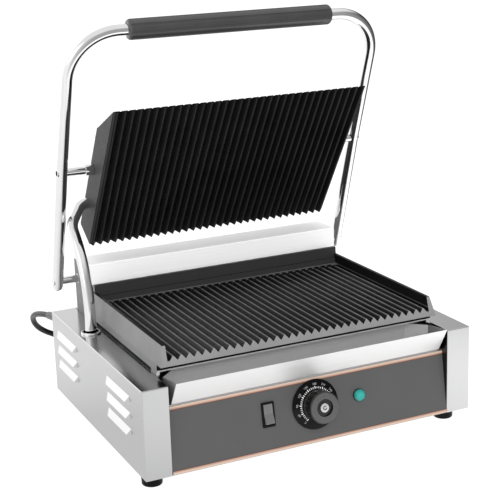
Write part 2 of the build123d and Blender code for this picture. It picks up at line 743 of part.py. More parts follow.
spring_r, spring_wire, spring_pitch, spring_turns = 6.9, 2.4, 3.2, 12
with BuildPart() as left_spring:
    with BuildLine() as left_spring_path:
        Helix(spring_pitch, spring_pitch * spring_turns, spring_r, center=(-150, dy(hinge_d), hinge_z),
              direction=(1, 0, 0))
    with BuildSketch(Plane(origin=left_spring_path.line @ 0, z_dir=left_spring_path.line % 0)):
        Circle(spring_wire / 2)
    sweep(path=left_spring_path.wires()[0], is_frenet=True)
left_spring.part.label = "left_spring"
export_step(left_spring.part, "parts/left_spring.step")

with BuildPart() as right_spring:
    with BuildLine() as right_spring_path:
        Helix(spring_pitch, spring_pitch * spring_turns, spring_r, center=(150, dy(hinge_d), hinge_z),
              direction=(-1, 0, 0), lefthand=True)
    with BuildSketch(Plane(origin=right_spring_path.line @ 0, z_dir=right_spring_path.line % 0)):
        Circle(spring_wire / 2)
    sweep(path=right_spring_path.wires()[0], is_frenet=True)
right_spring.part.label = "right_spring"
export_step(right_spring.part, "parts/right_spring.step")

# ---------------------------------------------------------------
# handle: one bent tube, its grip, shaft, pins and end plugs
# ---------------------------------------------------------------
arm_slope = (hinge_d - pivot_d) / (pivot_z - hinge_z)
arm_foot_d = hinge_d + arm_slope * (hinge_z - arm_low)
arm_down = (0, arm_slope, -1)
grip_dist = pivot_d - arm_lean * (grip_z - pivot_z)
with BuildPart() as handle_tube:
    with BuildLine() as handle_path:
        FilletPolyline((arm_l, dy(arm_foot_d), arm_low), (arm_l, dy(pivot_d), pivot_z), (arm_l, dy(grip_dist), grip_z),
                       (arm_r, dy(grip_dist), grip_z), (arm_r, dy(pivot_d), pivot_z), (arm_r, dy(arm_foot_d), arm_low),
                       radius=[300, corner_r, corner_r, 300])
    with BuildSketch(Plane(origin=(arm_l, dy(arm_foot_d), arm_low), z_dir=(0, -arm_slope, 1))):
        Circle(tube_d / 2)
        Circle(tube_d / 2 - tube_wall, mode=Mode.SUBTRACT)
    sweep(path=handle_path.wires()[0])
    with BuildSketch(at_x(-230)):
        with Locations((dy(hinge_d), hinge_z)):
            Circle(shaft_d / 2 + 0.02)
        with Locations((dy(pivot_d), pivot_z)):
            Circle(pin_d / 2 + 0.02)
    extrude(amount=460, mode=Mode.SUBTRACT)
handle_tube.part.label = "handle_tube"
export_step(handle_tube.part, "parts/handle_tube.step")

with BuildPart() as handle_grip:
    with BuildSketch(at_y(grip_dist)) as grip_half:
        quad(grip_l, grip_r, grip_z, grip_z + grip_d / 2)
        fillet(grip_half.vertices().group_by(Axis.Y)[-1], 4.0)
    revolve(axis=Axis((0, dy(grip_dist), grip_z), (1, 0, 0)))
    with BuildSketch(at_x(grip_l - 1)):
        with Locations((dy(grip_dist), grip_z)):
            with PolarLocations(grip_d / 2 + 0.25, 8, start_angle=15):
                Circle(1.35)
            Circle(tube_d / 2 + 0.03)
    extrude(amount=grip_r - grip_l + 2, mode=Mode.SUBTRACT)
handle_grip.part.label = "handle_grip"
export_step(handle_grip.part, "parts/handle_grip.step")

with BuildPart() as hinge_shaft:
    with BuildSketch(at_x(arm_l - tube_d / 2 + 0.3)):
        with Locations((dy(hinge_d), hinge_z)):
            Circle(shaft_d / 2)
    extrude(amount=arm_r - arm_l + tube_d - 0.6)
    fillet(hinge_shaft.faces().filter_by(Axis.X).edges(), 0.5)
hinge_shaft.part.label = "hinge_shaft"
export_step(hinge_shaft.part, "parts/hinge_shaft.step")

up_l = up_x - up_hw
up_r = up_x + up_hw
boss_in = 14.0
with BuildPart() as pivot_pins:
    for xa, xb, xc, xs in ((arm_l - tube_d / 2 + 0.2, up_l + boss_in, up_l - 10.3, arm_l - tube_d / 2 + 0.2),
                           (up_r - boss_in, arm_r + tube_d / 2 - 0.2, up_r + 0.3, arm_r + tube_d / 2 - 5.2)):
        with BuildSketch(at_x(xa)):
            with Locations((dy(pivot_d), pivot_z)):
                Circle(pin_d / 2)
        extrude(amount=xb - xa)
        # spacer beside the plate
        with BuildSketch(at_x(xc)):
            with Locations((dy(pivot_d), pivot_z)):
                Circle(6.8)
        extrude(amount=10.0)
        # hexagon socket in the outer end
        with BuildSketch(at_x(xs)):
            with Locations((dy(pivot_d), pivot_z)):
                RegularPolygon(3.7, 6)
        extrude(amount=5.0, mode=Mode.SUBTRACT)
pivot_pins.part.label = "pivot_pins"
export_step(pivot_pins.part, "parts/pivot_pins.step")

with BuildPart() as arm_end_plugs:
    for xa in (arm_l, arm_r):
        with BuildSketch(Plane(origin=(xa, dy(arm_foot_d), arm_low), z_dir=arm_down)):
            Circle(6.6)
        extrude(amount=7.0)
    fillet(arm_end_plugs.faces().sort_by(Axis.Z)[:2].edges(), 6.2)
    for xa in (arm_l, arm_r):
        with BuildSketch(Plane(origin=(xa, dy(arm_foot_d), arm_low), z_dir=arm_down)):
            Circle(tube_d / 2 - tube_wall - 0.03)
        extrude(amount=-1.1)
arm_end_plugs.part.label = "arm_end_plugs"
export_step(arm_end_plugs.part, "parts/arm_end_plugs.step")

# ---------------------------------------------------------------
# upper plate, its cover, element and fixings
# ---------------------------------------------------------------
up_boss = [(0, -162.5), (124, -90)]
cover_screw_xy = [(up_x + sg * (up_hw - 3), y) for sg in (-1, 1) for y in (-14, -75, -150)]
with BuildPart() as upper_plate:
    with BuildSketch(lid_x(up_l)):
        Polygon((0, 0), (-up_len, 0), (-up_len, 3.5), (-167, up_h), (0, up_h), align=None)
    extrude(amount=2 * up_hw)
    with BuildSketch(lid_x(up_l + up_wall)):
        Polygon((-up_wall, 11), (-201.3, 11), (-155.9, up_h + 0.1), (-up_wall, up_h + 0.1), align=None)
    extrude(amount=2 * (up_hw - up_wall), mode=Mode.SUBTRACT)
    with BuildSketch(lid_y(-up_len - 1)):
        for i in range(-16, 17):
            gx = up_x + i * rib_pitch
            Polygon((gx - rib_pitch / 2 + rib_tip / 2, -0.01), (gx - rib_root / 2, rib_depth),
                    (gx + rib_root / 2, rib_depth), (gx + rib_pitch / 2 - rib_tip / 2, -0.01), align=None)
        for sg in (-1, 1):
            Polygon((up_x + sg * 165.5, -0.01), (up_x + sg * 169.0, 4.0), (up_x + sg * 170.5, 4.0),
                    (up_x + sg * 170.5, -0.01), align=None)
    extrude(amount=-(up_len + 2), mode=Mode.SUBTRACT)
    with BuildSketch(lid_x(up_l + up_wall - 0.1)):
        with Locations((-piv_t, piv_n)):
            Circle(7.6)
    extrude(amount=boss_in - up_wall + 0.1)
    with BuildSketch(lid_x(up_r - boss_in)):
        with Locations((-piv_t, piv_n)):
            Circle(7.6)
    extrude(amount=boss_in - up_wall + 0.1)
    with BuildSketch(lid_x(-230)):
        with Locations((-piv_t, piv_n)):
            Circle(pin_d / 2 + 0.06)
    extrude(amount=460, mode=Mode.SUBTRACT)
    with BuildSketch(lid_x(up_l - 1)):
        with Locations((-con_t, con_n)):
            Circle(con_d / 2 + 0.05)
    extrude(amount=up_wall + 2, mode=Mode.SUBTRACT)
    with BuildSketch(lid_n(10.9)):
        with Locations(*up_boss):
            Circle(6.5)
    extrude(amount=6.6)
    with BuildSketch(lid_n(9.0)):
        with Locations(*up_boss):
            Circle(2.5)
    extrude(amount=12, mode=Mode.SUBTRACT)
    with BuildSketch(lid_n(up_h - 12)):
        with Locations(*cover_screw_xy):
            Circle(1.8)
    extrude(amount=14, mode=Mode.SUBTRACT)
upper_plate.part.label = "upper_plate"
export_step(upper_plate.part, "parts/upper_plate.step")

with BuildPart() as upper_cover:
    with BuildSketch(lid_n(up_h)):
        quad(up_l + 0.4, up_r - 0.4, -166.0, -0.4)
        with Locations(*cover_screw_xy):
            Circle(1.8, mode=Mode.SUBTRACT)
    extrude(amount=2.0)
upper_cover.part.label = "upper_cover"
export_step(upper_cover.part, "parts/upper_cover.step")

with BuildPart() as cover_screws:
    with BuildSketch(lid_n(up_h + 2.0)):
        with Locations(*cover_screw_xy):
            Circle(2.9)
    extrude(amount=1.8)
    with BuildSketch(lid_n(up_h - 11)):
        with Locations(*cover_screw_xy):
            Circle(1.75)
    extrude(amount=13.5)
    with BuildSketch(lid_n(up_h + 3.0)):
        with Locations(*cover_screw_xy):
            Rectangle(4.0, 0.8)
            Rectangle(0.8, 4.0)
    extrude(amount=2, mode=Mode.SUBTRACT)
cover_screws.part.label = "cover_screws"
export_step(cover_screws.part, "parts/cover_screws.step")

ue_n = 11 + 3.3
with BuildPart() as upper_element:
    with BuildLine() as upper_element_path:
        FilletPolyline(lid_pt(-140, -60, 32), lid_pt(-140, -60, ue_n), lid_pt(-140, -180, ue_n), lid_pt(144, -180, ue_n),
                       lid_pt(144, -30, ue_n), lid_pt(104, -30, ue_n), lid_pt(104, -145, ue_n), lid_pt(-110, -145, ue_n),
                       lid_pt(-110, -60, ue_n), lid_pt(-110, -60, 32), radius=[10, 15, 15, 15, 15, 15, 15, 10])
    with BuildSketch(Plane(origin=lid_pt(-140, -60, 32), z_dir=(0, -ls, -lc))):
        Circle(3.25)
    sweep(path=upper_element_path.wires()[0])
upper_element.part.label = "upper_element"
export_step(upper_element.part, "parts/upper_element.step")

with BuildPart() as upper_element_clamps:
    with BuildSketch(lid_n(17.6)):
        quad(-9, 9, -188, -137)
        quad(96, 152, -99, -81)
        with Locations(*up_boss):
            Circle(2.6, mode=Mode.SUBTRACT)
    extrude(amount=1.5)
upper_element_clamps.part.label = "upper_element_clamps"
export_step(upper_element_clamps.part, "parts/upper_element_clamps.step")

with BuildPart() as upper_clamp_screws:
    with BuildSketch(lid_n(19.1)):
        with Locations(*up_boss):
            RegularPolygon(4.6, 6)
    extrude(amount=3.0)
    with BuildSketch(lid_n(9.5)):
        with Locations(*up_boss):
            Circle(2.45)
    extrude(amount=9.8)
upper_clamp_screws.part.label = "upper_clamp_screws"
export_step(upper_clamp_screws.part, "parts/upper_clamp_screws.step")

# ---------------------------------------------------------------
# conduit: arc about the lid's pole, then a bend into the plate
# ---------------------------------------------------------------
con_k = lid_pt(-178.0, -con_t, con_n)
con_a0 = radians(-22.0)
con_far = hypot(con_k[1] - dy(pole_d), con_k[2] - pole_z)
con_a1 = atan2(con_k[2] - pole_z, dy(pole_d) - con_k[1]) - acos(con_r / con_far)


def pole_pt(a):
    return (con_x, dy(pole_d) - con_r * cos(a), pole_z + con_r * sin(a))


con_e = pole_pt(con_a1)
con_m = (con_x, con_e[1] + 22.0 * sin(con_a1), con_e[2] + 22.0 * cos(con_a1))
with BuildPart() as conduit_tube:
    with BuildLine() as conduit_path:
        ThreePointArc(pole_pt(con_a0), pole_pt((con_a0 + con_a1) / 2), con_e)
        FilletPolyline(con_e, con_m, con_k, (up_l + 18, con_k[1], con_k[2]), radius=[30, 19])
    with BuildSketch(Plane(origin=pole_pt(con_a0), z_dir=(0, sin(con_a0), cos(con_a0)))):
        Circle(con_d / 2)
        Circle(con_d / 2 - con_wall, mode=Mode.SUBTRACT)
    sweep(path=conduit_path.wires()[0])
conduit_tube.part.label = "conduit_tube"
export_step(conduit_tube.part, "parts/conduit_tube.step")

with BuildPart() as conduit_nut:
    with BuildSketch(lid_x(up_l + up_wall)):
        with Locations((-con_t, con_n)):
            RegularPolygon(11.2, 6)
            Circle(con_d / 2 + 0.05, mode=Mode.SUBTRACT)
    extrude(amount=6)
conduit_nut.part.label = "conduit_nut"
export_step(conduit_nut.part, "parts/conduit_nut.step")

with BuildPart() as conduit_ring:
    with BuildSketch(at_z(z_top)):
        with Locations((con_x, dy(ring_dist))):
            Circle(ring_bore + 2.9)
    extrude(amount=2.6)
    fillet(conduit_ring.faces().sort_by(Axis.Z)[-1].edges(), 1.3)
    with BuildSketch(at_z(z_top - 1.8)):
        with Locations((con_x, dy(ring_dist))):
            Circle(ring_bore + 0.6)
    extrude(amount=2.0)
    with BuildSketch(at_z(z_top - 4)):
        with Locations((con_x, dy(ring_dist))):
            Circle(ring_bore)
    extrude(amount=9, mode=Mode.SUBTRACT)
conduit_ring.part.label = "conduit_ring"
export_step(conduit_ring.part, "parts/conduit_ring.step")

# ---------------------------------------------------------------
# terminal block and feet
# ---------------------------------------------------------------
with BuildPart() as terminal_block:
    with BuildSketch(at_z(z_bot + 1.5)):
        quad(60, 122, dy(200), dy(224))
    extrude(amount=18)
    with BuildSketch(at_z(z_bot + 12)):
        with Locations((91, dy(212))):
            with GridLocations(12, 12, 5, 2):
                Circle(3.0)
    extrude(amount=10, mode=Mode.SUBTRACT)
terminal_block.part.label = "terminal_block"
export_step(terminal_block.part, "parts/terminal_block.step")

with BuildPart() as feet:
    with BuildSketch(at_z(foot_h)):
        with Locations(*foot_xy):
            Circle(12.6)
    extrude(amount=-foot_h, taper=2.0)
    fillet(feet.faces().filter_by(Axis.Z).sort_by(Axis.Z)[:4].edges(), 1.8)
    with BuildSketch(at_z(-1)):
        with Locations(*foot_xy):
            Circle(5.0)
    extrude(amount=9, mode=Mode.SUBTRACT)
    with BuildSketch(at_z(-1)):
        with Locations(*foot_xy):
            Circle(2.1)
    extrude(amount=30, mode=Mode.SUBTRACT)
feet.part.label = "feet"
export_step(feet.part, "parts/feet.step")

with BuildPart() as foot_screws:
    with BuildSketch(at_z(5.0)):
        with Locations(*foot_xy):
            Circle(4.2)
    extrude(amount=3.0)
    with BuildSketch(at_z(7.5)):
        with Locations(*foot_xy):
            Circle(2.0)
    extrude(amount=18.0)
    with BuildSketch(at_z(z_bot + 1.5)):
        with Locations(*foot_xy):
            RegularPolygon(4.0, 6)
    extrude(amount=3.2)
foot_screws.part.label = "foot_screws"
export_step(foot_screws.part, "parts/foot_screws.step")

# ---------------------------------------------------------------
# power cord: gland with its boot, lead, coil, tie, tail and plug
# ---------------------------------------------------------------
bd = radians(boot_droop)
boot_dir = (0, cos(bd), -sin(bd))


def boot_pt(k):
    return (gland_x, dy(body_d) + k * cos(bd), gland_z - k * sin(bd))


with BuildPart() as cord_gland:
    with BuildSketch(at_y(body_d - 5)):
        with Locations((gland_x, gland_z)):
            Circle(6.9)
    extrude(amount=-3.8)
    with BuildSketch(at_y(body_d - 4)):
        with Locations((gland_x, gland_z)):
            Circle(5.95)
    extrude(amount=-5)
    with BuildSketch(at_y(body_d)):
        with Locations((gland_x, gland_z)):
            Circle(8.0)
    extrude(amount=-4.5)
    with BuildSketch(Plane(origin=boot_pt(2.2), x_dir=(1, 0, 0), z_dir=boot_dir)):
        Circle(6.8)
    with BuildSketch(Plane(origin=boot_pt(boot_len), x_dir=(1, 0, 0), z_dir=boot_dir)):
        Circle(5.0)
    loft()
cord_gland.part.label = "cord_gland"
export_step(cord_gland.part, "parts/cord_gland.step")

coil_out_r = coil_mean_r + cord_d / 2 + 0.1
boot_end = boot_pt(boot_len)
cord_route = [
    boot_end,
    (-215.0, dy(430.0), 96.5),
    (-203.0, dy(455.0), 62.0),
    (-160.0, dy(467.0), 37.0),
    (-112.0, dy(455.0), 11.0),
    (-72.0, dy(440.0), 4.6),
    (coil_x, dy(coil_dist) + coil_out_r, 4.2),
]


def route_radii(pts):
    out = []
    for k in range(1, len(pts) - 1):
        a = Vector(*pts[k]) - Vector(*pts[k - 1])
        b = Vector(*pts[k + 1]) - Vector(*pts[k])
        half = radians(a.get_angle(b)) / 2
        out.append(0.45 * min(a.length, b.length) / tan(half))
    return out


cord_radii = route_radii(cord_route)
with BuildPart() as cord_lead:
    with BuildLine() as cord_path:
        FilletPolyline(*cord_route, radius=cord_radii)
    with BuildSketch(Plane(origin=cord_route[0], z_dir=cord_path.line % 0)):
        Circle(cord_d / 2)
    sweep(path=cord_path.wires()[0])
cord_lead.part.label = "cord_lead"
export_step(cord_lead.part, "parts/cord_lead.step")
print("cord radii", [round(r, 1) for r in cord_radii], "least allowed", 5 * cord_d)
print("cord lead length", round(cord_path.wires()[0].length, 1), "volume ratio",
      round(cord_lead.part.volume / (pi * cord_d ** 2 / 4 * cord_path.wires()[0].length), 4))

with BuildPart() as cord_coil:
    with BuildSketch(at_z(0)):
        with Locations((coil_x, dy(coil_dist))):
            Circle(coil_mean_r + cord_d + 0.4)
            Circle(coil_mean_r - cord_d - 0.4, mode=Mode.SUBTRACT)
    extrude(amount=3 * cord_d + 0.6)
    fillet(cord_coil.edges().filter_by(GeomType.CIRCLE), 3.0)
cord_coil.part.label = "cord_coil"
export_step(cord_coil.part, "parts/cord_coil.step")

tie_w, tie_t = 8.0, 1.0
with BuildPart() as cord_tie:
    with BuildSketch(at_y(coil_dist - tie_w / 2)):
        with Locations((coil_x + coil_mean_r, 1.5 * cord_d + 0.3)):
            RectangleRounded(2 * cord_d + 0.8 + 2 * tie_t, 3 * cord_d + 0.6, 3.2)
            RectangleRounded(2 * cord_d + 0.8, 3 * cord_d + 0.6 - 0.2, 3.0, mode=Mode.SUBTRACT)
        with Locations((coil_x + coil_mean_r, 3 * cord_d + 0.6 + tie_t / 2)):
            Rectangle(2 * cord_d - 4, tie_t)
    extrude(amount=-tie_w)
cord_tie.part.label = "cord_tie"
export_step(cord_tie.part, "parts/cord_tie.step")

plug_x = 26.0
tail_route = [
    (coil_x, dy(coil_dist) + coil_out_r, 2.5 * cord_d + 0.3),
    (coil_x + 28.0, dy(coil_dist) + coil_out_r + 0.6, 2.5 * cord_d - 0.2),
    (plug_x, dy(coil_dist) + coil_out_r, 14.0),
]
tail_radii = route_radii(tail_route)
with BuildPart() as cord_tail:
    with BuildLine() as tail_path:
        FilletPolyline(*tail_route, radius=tail_radii)
    with BuildSketch(Plane(origin=tail_route[0], z_dir=tail_path.line % 0)):
        Circle(cord_d / 2)
    sweep(path=tail_path.wires()[0])
cord_tail.part.label = "cord_tail"
export_step(cord_tail.part, "parts/cord_tail.step")

plug_y = tail_route[-1][1]
with BuildPart() as plug:
    with BuildSketch(at_x(plug_x)):
        with Locations((plug_y, 14.0)):
            Circle(4.4)
    with BuildSketch(at_x(plug_x + 22)):
        with Locations((plug_y, 14.0)):
            Circle(6.6)
    loft()
    with BuildSketch(at_x(plug_x + 21.5)):
        with Locations((plug_y, 14.0)):
            RectangleRounded(24, 20, 6)
    with BuildSketch(at_x(plug_x + 40)):
        with Locations((plug_y, 14.0)):
            RectangleRounded(36, 27, 9)
    loft()
    with BuildSketch(at_x(plug_x + 40)):
        with Locations((plug_y, 14.0)):
            RectangleRounded(36, 27, 9)
    extrude(amount=16)
    with BuildSketch(at_x(plug_x + 55.5)):
        with Locations((plug_y - 9.5, 14.0), (plug_y + 9.5, 14.0)):
            Circle(2.4)
    extrude(amount=19.5)
plug.part.label = "plug"
export_step(plug.part, "parts/plug.step")
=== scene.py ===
import bpy, bmesh, math
from mathutils import Vector, Matrix, Quaternion


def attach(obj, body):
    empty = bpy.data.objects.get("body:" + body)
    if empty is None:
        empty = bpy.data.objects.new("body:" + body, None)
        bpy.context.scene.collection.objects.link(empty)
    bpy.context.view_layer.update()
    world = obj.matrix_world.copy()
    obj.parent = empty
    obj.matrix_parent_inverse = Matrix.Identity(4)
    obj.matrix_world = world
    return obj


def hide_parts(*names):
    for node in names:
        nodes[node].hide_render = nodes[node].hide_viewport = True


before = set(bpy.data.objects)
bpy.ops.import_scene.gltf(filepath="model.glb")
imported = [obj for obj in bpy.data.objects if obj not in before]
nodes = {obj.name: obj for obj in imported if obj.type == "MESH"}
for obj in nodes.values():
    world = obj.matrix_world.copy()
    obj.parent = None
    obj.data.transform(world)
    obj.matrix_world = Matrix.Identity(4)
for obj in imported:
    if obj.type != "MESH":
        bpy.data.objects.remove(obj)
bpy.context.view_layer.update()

scene = bpy.context.scene
coll = scene.collection

# ------------------------------------------------------------------
# shared figures of the part, metres
# ------------------------------------------------------------------
MM = 0.001
ORIGIN_D = 156.28


def P(x, d, z):
    """x across, d back from the front plane, z up, in millimetres."""
    return Vector((x * MM, (d - ORIGIN_D) * MM, z * MM))


PZ0, PZ1, PB = 18.2, 97.9, 12.3
PL = math.hypot(PZ1 - PZ0, PB)
PC, PS = (PZ1 - PZ0) / PL, PB / PL
CTRL_S, DIAL_S, LAMP_S = 46.2, 46.7, 46.1
DIAL_X, SWITCH_X, LAMP_X = 1.7, -59.5, 60.9


def panel(x, s, n):
    return P(x, s * PS - n * PC, PZ0 + s * PC + n * PS)


PANEL_ROT = Matrix(((1, 0, 0), (0, PS, -PC), (0, PC, PS)))

# ------------------------------------------------------------------
# camera
# ------------------------------------------------------------------
CAM_AZ, CAM_EL, CAM_ROLL = math.radians(-25.167), math.radians(15.39), math.radians(-1.879)
FOCAL_PX = 1282.299
cam_back = Vector((math.sin(CAM_AZ) * math.cos(CAM_EL), -math.cos(CAM_AZ) * math.cos(CAM_EL), math.sin(CAM_EL)))
cam_fwd = -cam_back
cam_right = cam_fwd.cross(Vector((0, 0, 1))).normalized()
cam_up = cam_right.cross(cam_fwd)
rr = math.cos(CAM_ROLL) * cam_right + math.sin(CAM_ROLL) * cam_up
uu = -math.sin(CAM_ROLL) * cam_right + math.cos(CAM_ROLL) * cam_up
cam_data = bpy.data.cameras.new("camera")
cam_data.sensor_fit = "HORIZONTAL"
cam_data.sensor_width = 36.0
cam_data.lens = 36.0 * FOCAL_PX / 500.0
cam_data.clip_start, cam_data.clip_end = 0.05, 200.0
cam = bpy.data.objects.new("camera", cam_data)
coll.objects.link(cam)
m3 = Matrix((rr, uu, -cam_fwd)).transposed()
cam.matrix_world = Matrix.Translation(P(-657.67, -1232.357, 639.906)) @ m3.to_4x4()
scene.camera = cam

# ------------------------------------------------------------------
# power cord
# ------------------------------------------------------------------
CORD_D = 8.0
BOOT = math.radians(12.0)
boot_end = P(-206.0, 327.0 + 46.0 * math.cos(BOOT), 115.0 - 46.0 * math.sin(BOOT))
COIL_X, COIL_D, COIL_R = -30.0, 395.0, 44.1
COIL_IN = 35.9
cord_pts = [
    boot_end,
    P(-215.0, 430.0, 96.5),
    P(-203.0, 455.0, 62.0),
    P(-160.0, 467.0, 37.0),
    P(-112.0, 455.0, 11.0),
    P(-72.0, 440.0, 4.6),
]
Z1, Z2, Z3 = 4.2, 12.3, 20.4


def ease(t, a, b, v0, v1):
    if t <= a:
        return v0
    if t >= b:
        return v1
    u = (t - a) / (b - a)
    return v0 + (v1 - v0) * u * u * (3 - 2 * u)


for k in range(0, 65):
    t = k * 22.5
    r = COIL_R
    if t > 279:
        r = ease(t, 280, 340, COIL_R, COIL_IN)
    if t > 849:
        r = ease(t, 850, 910, COIL_IN, COIL_R)
    z = Z1
    if t > 559:
        z = ease(t, 560, 620, Z1, Z2)
    if t > 1139:
        z = ease(t, 1140, 1200, Z2, Z3)
    rc = r if k in (0, 64) else r / math.cos(math.radians(11.25))
    a = math.radians(90.0 - t)
    cord_pts.append(P(COIL_X + rc * math.cos(a), COIL_D + rc * math.sin(a), z))
cord_pts += [P(-2.0, COIL_D + COIL_R + 0.6, 19.8), P(26.0, COIL_D + COIL_R, 14.0)]

curve = bpy.data.curves.new("power_cord", "CURVE")
curve.dimensions = "3D"
spl = curve.splines.new("NURBS")
spl.points.add(len(cord_pts) - 1)
for p, q in zip(spl.points, cord_pts):
    p.co = (q.x, q.y, q.z, 1.0)
    p.radius = CORD_D / 2 * MM
spl.order_u = 3
spl.use_endpoint_u = True
spl.resolution_u = 10
curve.bevel_depth = 1.0
curve.bevel_resolution = 5
curve.use_fill_caps = True
cord = bpy.data.objects.new("power_cord", curve)
coll.objects.link(cord)
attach(cord, "base")
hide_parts("cord_lead", "cord_coil", "cord_tail")

# ------------------------------------------------------------------
# material helpers
# ------------------------------------------------------------------


def new_mat(name):
    m = bpy.data.materials.new(name)
    m.use_nodes = True
    nt = m.node_tree
    nt.nodes.clear()
    out = nt.nodes.new("ShaderNodeOutputMaterial")
    b = nt.nodes.new("ShaderNodeBsdfPrincipled")
    nt.links.new(b.outputs[0], out.inputs[0])
    return m, nt, b


def add(nt, kind, **kw):
    n = nt.nodes.new(kind)
    for k, v in kw.items():
        setattr(n, k, v)
    return n


def coords(nt, scale=(1, 1, 1), rot=(0, 0, 0), which="Object"):
    tc = add(nt, "ShaderNodeTexCoord")
    mp = add(nt, "ShaderNodeMapping")
    mp.inputs["Scale"].default_value = scale
    mp.inputs["Rotation"].default_value = rot
    nt.links.new(tc.outputs[which], mp.inputs["Vector"])
    return mp.outputs["Vector"]


def noise(nt, vec, scale, detail=3.0, rough=0.55):
    n = add(nt, "ShaderNodeTexNoise")
    n.inputs["Scale"].default_value = scale
    n.inputs["Detail"].default_value = detail
    n.inputs["Roughness"].default_value = rough
    nt.links.new(vec, n.inputs["Vector"])
    return n.outputs["Fac"]


def span(nt, val, a, b, lo, hi):
    n = add(nt, "ShaderNodeMapRange")
    n.clamp = True
    n.inputs["From Min"].default_value = a
    n.inputs["From Max"].default_value = b
    n.inputs["To Min"].default_value = lo
    n.inputs["To Max"].default_value = hi
    nt.links.new(val, n.inputs["Value"])
    return n.outputs["Result"]


def ramp(nt, val, stops, mode="LINEAR"):
    n = add(nt, "ShaderNodeValToRGB")
    cr = n.color_ramp
    cr.interpolation = mode
    while len(cr.elements) < len(stops):
        cr.elements.new(0.5)
    for e, (p, c) in zip(cr.elements, stops):
        e.position = p
        e.color = (c[0], c[1], c[2], 1) if not isinstance(c, (int, float)) else (c, c, c, 1)
    nt.links.new(val, n.inputs["Fac"])
    return n.outputs["Color"]


def bump(nt, b, height, strength, dist, normal=None):
    n = add(nt, "ShaderNodeBump")
    n.inputs["Strength"].default_value = strength
    n.inputs["Distance"].default_value = dist
    nt.links.new(height, n.inputs["Height"])
    if normal is not None:
        nt.links.new(normal, n.inputs["Normal"])
    nt.links.new(n.outputs["Normal"], b.inputs["Normal"])
    return n


def math_node(nt, op, a, b=None):
    n = add(nt, "ShaderNodeMath", operation=op)
    for i, v in enumerate((a, b)):
        if v is None:
            continue
        if isinstance(v, (int, float)):
            n.inputs[i].default_value = v
        else:
            nt.links.new(v, n.inputs[i])
    return n.outputs[0]


def mix_col(nt, fac, a, b):
    n = add(nt, "ShaderNodeMix", data_type="RGBA")
    nt.links.new(fac, n.inputs[0])
    for i, v in ((6, a), (7, b)):
        if isinstance(v, tuple):
            n.inputs[i].default_value = (v[0], v[1], v[2], 1)
        else:
            nt.links.new(v, n.inputs[i])
    return n.outputs[2]


def brushed(name, color, rough, grain, spread=0.06, streak=0.03, top=None, metal=1.0, bumpy=0.05, inward_shade=None):
    """Brushed sheet: fine streaks along one axis; grain is the scale of each axis. top: roughness of level faces."""
    m, nt, b = new_mat(name)
    b.inputs["Metallic"].default_value = metal
    fine = noise(nt, coords(nt, grain), 1.0, 2.0, 0.6)
    broad = noise(nt, coords(nt, (7, 7, 7)), 1.0, 2.0, 0.5)
    both = math_node(nt, "ADD", math_node(nt, "MULTIPLY", fine, 0.7), math_node(nt, "MULTIPLY", broad, 0.3))
    rg = span(nt, both, 0.3, 0.7, rough - spread, rough + spread)
    if top is not None:
        tc = add(nt, "ShaderNodeTexCoord")
        sn = add(nt, "ShaderNodeSeparateXYZ")
        nt.links.new(tc.outputs["Normal"], sn.inputs[0])
        level = span(nt, sn.outputs[2], 0.8, 0.95, 1.0, top / rough)
        rg = math_node(nt, "MULTIPLY", rg, level)
    nt.links.new(rg, b.inputs["Roughness"])
    c0 = tuple(x * (1 - streak) for x in color)
    c1 = tuple(min(1, x * (1 + streak)) for x in color)
    col = ramp(nt, both, [(0.3, c0), (0.7, c1)])
    # faces turned in towards the middle are painted dark grey: painted shade
    if inward_shade is not None:
        tc = add(nt, "ShaderNodeTexCoord")
        sn = add(nt, "ShaderNodeSeparateXYZ")
        sp = add(nt, "ShaderNodeSeparateXYZ")
        nt.links.new(tc.outputs["Normal"], sn.inputs[0])
        nt.links.new(tc.outputs["Object"], sp.inputs[0])
        facing = math_node(nt, "MULTIPLY", sn.outputs[0], sp.outputs[0])
        col = mix_col(nt, span(nt, facing, -0.17, -0.14, 1.0, 0.0), col, (inward_shade, inward_shade, inward_shade))
    nt.links.new(col, b.inputs["Base Color"])
    bump(nt, b, fine, bumpy, 0.0002)
    return m


def plastic(name, color, rough, grain=900, depth=0.08, spread=0.06, coat=0.0, vary=0.15, spec=0.5):
    m, nt, b = new_mat(name)
    n = noise(nt, coords(nt), grain, 3.0)
    broad = noise(nt, coords(nt), 30, 3.0)
    c0 = tuple(x * (1 - vary) for x in color)
    c1 = tuple(min(1, x * (1 + vary)) for x in color)
    nt.links.new(ramp(nt, broad, [(0.3, c0), (0.7, c1)]), b.inputs["Base Color"])
    nt.links.new(span(nt, n, 0.3, 0.7, rough - spread, rough + spread), b.inputs["Roughness"])
    b.inputs["Coat Weight"].default_value = coat
    b.inputs["Coat Roughness"].default_value = 0.08
    b.inputs["Specular IOR Level"].default_value = spec
    bump(nt, b, n, depth, 0.0003)
    return m


def chrome(name, color, rough):
    m, nt, b = new_mat(name)
    b.inputs["Metallic"].default_value = 1.0
    n = noise(nt, coords(nt), 60, 4.0)
    nt.links.new(ramp(nt, n, [(0.3, tuple(x * 0.96 for x in color)), (0.7, color)]), b.inputs["Base Color"])
    nt.links.new(span(nt, n, 0.3, 0.7, max(0.02, rough - 0.03), rough + 0.03), b.inputs["Roughness"])
    return m


# ------------------------------------------------------------------
# materials
# ------------------------------------------------------------------
STEEL = (0.56, 0.56, 0.562)
steel_y = brushed("steel_brushed_y", STEEL, 0.26, (1600, 14, 1600), spread=0.02, streak=0.008, top=0.17, bumpy=0.004, inward_shade=0.07)
steel_x = brushed("steel_brushed_x", STEEL, 0.3, (14, 1600, 1600), spread=0.03, streak=0.01, bumpy=0.006)


